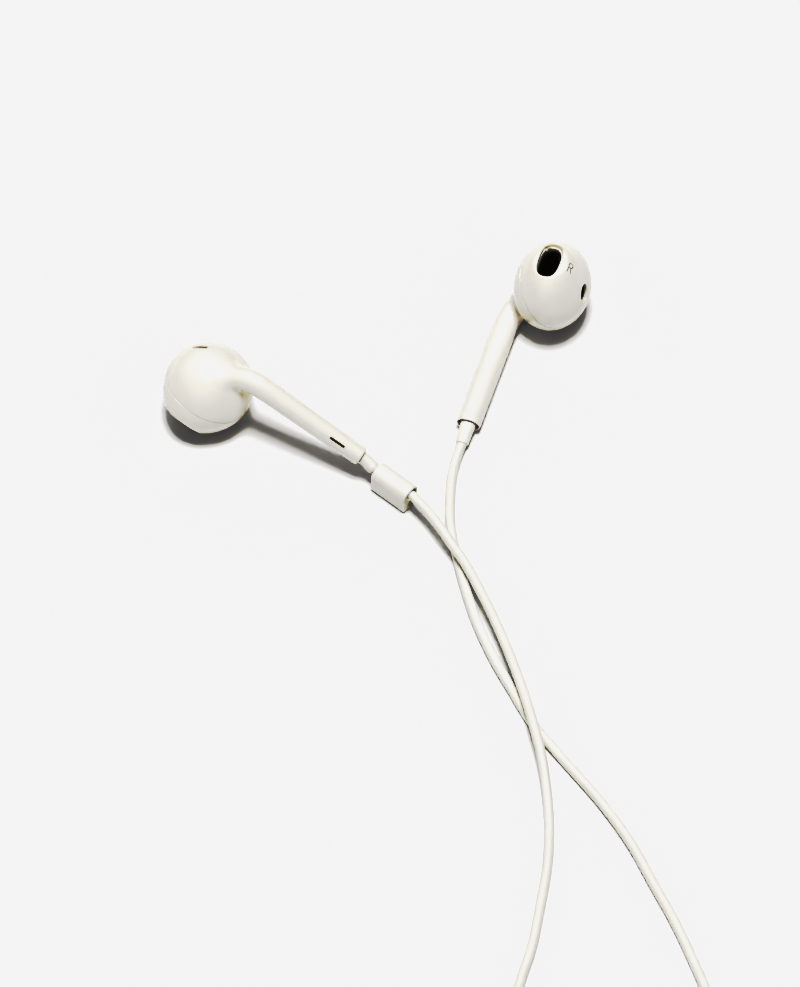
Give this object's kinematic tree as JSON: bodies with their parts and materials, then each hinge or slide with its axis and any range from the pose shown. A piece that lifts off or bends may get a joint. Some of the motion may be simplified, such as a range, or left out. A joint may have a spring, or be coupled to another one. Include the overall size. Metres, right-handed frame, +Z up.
{
  "type": "wired earphones",
  "caption": "Stem-type wired earphones on a forked cable with a sliding cinch, an in-line button remote, a moulded splitter and a jack plug, laid flat.",
  "frame": {"origin": "centre of the flat underside of the cable splitter, on the surface the earphones lie on", "axes": "+Z up from that surface; +Y from the splitter towards the earbuds; +X to the right seen from above"},
  "size_m": [0.1425, 0.2616, 0.0167],
  "materials": {
    "shell_white": "gloss",
    "cable_white": "satin",
    "relief_white": "satin",
    "slider_grey": "satin",
    "mesh_black": "satin",
    "steel": "brushed",
    "magnet_nickel": "plated",
    "copper": "enamelled copper wire",
    "diaphragm_film": "thin film",
    "foam_dark": "open foam",
    "board_green": "solder mask",
    "driver_frame_black": "matte",
    "wire_enamel": "enamel",
    "plug_contact": "polished",
    "plug_insulator": "satin"
  },
  "bodies": {
    "cable_harness": {"left_lead": "cable_white", "right_lead_upper": "cable_white", "right_lead_lower": "cable_white", "main_cable": "cable_white", "splitter": "shell_white", "remote_back_shell": "shell_white", "remote_front_shell": "shell_white", "remote_board": "board_green", "dome_switch_up": "steel", "dome_switch_center": "steel", "dome_switch_down": "steel", "microphone": "steel"},
    "left_earbud": {"rear_shell_left": "shell_white", "front_shell_left": "shell_white", "port_grille_left": "mesh_black", "side_port_mesh_left": "mesh_black", "rear_vent_mesh_left": "mesh_black", "stem_vent_mesh_left": "mesh_black", "strain_relief_left": "relief_white", "lead_wire_left": "wire_enamel", "driver_frame_left": "driver_frame_black", "driver_yoke_left": "steel", "driver_magnet_left": "magnet_nickel", "driver_top_plate_left": "steel", "driver_gasket_left": "foam_dark", "terminal_board_left": "board_green"},
    "right_earbud": {"rear_shell_right": "shell_white", "front_shell_right": "shell_white", "port_grille_right": "mesh_black", "side_port_mesh_right": "mesh_black", "rear_vent_mesh_right": "mesh_black", "stem_vent_mesh_right": "mesh_black", "strain_relief_right": "relief_white", "lead_wire_right": "wire_enamel", "driver_frame_right": "driver_frame_black", "driver_yoke_right": "steel", "driver_magnet_right": "magnet_nickel", "driver_top_plate_right": "steel", "driver_gasket_right": "foam_dark", "terminal_board_right": "board_green"},
    "left_diaphragm": {"diaphragm_left": "diaphragm_film", "voice_coil_left": "copper"},
    "right_diaphragm": {"diaphragm_right": "diaphragm_film", "voice_coil_right": "copper"},
    "slider": {"cable_slider": "slider_grey"},
    "plug": {"plug_relief": "relief_white", "plug_housing": "shell_white", "plug_sleeve": "plug_contact", "plug_insulator_1": "plug_insulator", "plug_ring_2": "plug_contact", "plug_insulator_2": "plug_insulator", "plug_ring_1": "plug_contact", "plug_insulator_3": "plug_insulator", "plug_tip": "plug_contact"},
    "volume_up": {"volume_up_button": "shell_white"},
    "center": {"center_button": "shell_white"},
    "volume_down": {"volume_down_button": "shell_white"}
  },
  "joints": [
    {"name": "left_earbud_swing", "type": "hinge", "parent": "cable_harness", "child": "left_earbud", "pos_m": [0.0273, 0.2104, 0.004], "axis": [0, 0, 1], "range_deg": [-25, 25]},
    {"name": "right_earbud_swing", "type": "hinge", "parent": "cable_harness", "child": "right_earbud", "pos_m": [0.04327, 0.21728, 0.00155], "axis": [0, 0, 1], "range_deg": [-25, 25]},
    {"name": "left_diaphragm_stroke", "type": "slide", "parent": "left_earbud", "child": "left_diaphragm", "axis": [-0.4082, -0.1231, -0.9046], "range_m": [-0.0002, 0.0002], "stiffness_N_per_m": 300},
    {"name": "right_diaphragm_stroke", "type": "slide", "parent": "right_earbud", "child": "right_diaphragm", "axis": [0.6103, -0.2487, 0.7521], "range_m": [-0.0002, 0.0002], "stiffness_N_per_m": 300},
    {"name": "slider_travel", "type": "hinge", "parent": "cable_harness", "child": "slider", "pos_m": [0.0066, 0.17853, 0], "axis": [0, 0, -1], "range_deg": [0, 9]},
    {"name": "plug_swing", "type": "hinge", "parent": "cable_harness", "child": "plug", "pos_m": [-0.01077, 0.06695, 0.0013], "axis": [0, 0, 1], "range_deg": [-25, 25]},
    {"name": "volume_up_press", "type": "slide", "parent": "cable_harness", "child": "volume_up", "axis": [0, 0, -1], "range_m": [0, 0.0003], "stiffness_N_per_m": 400},
    {"name": "center_press", "type": "slide", "parent": "cable_harness", "child": "center", "axis": [0, 0, -1], "range_m": [0, 0.0003], "stiffness_N_per_m": 400},
    {"name": "volume_down_press", "type": "slide", "parent": "cable_harness", "child": "volume_down", "axis": [0, 0, -1], "range_m": [0, 0.0003], "stiffness_N_per_m": 400}
  ]
}
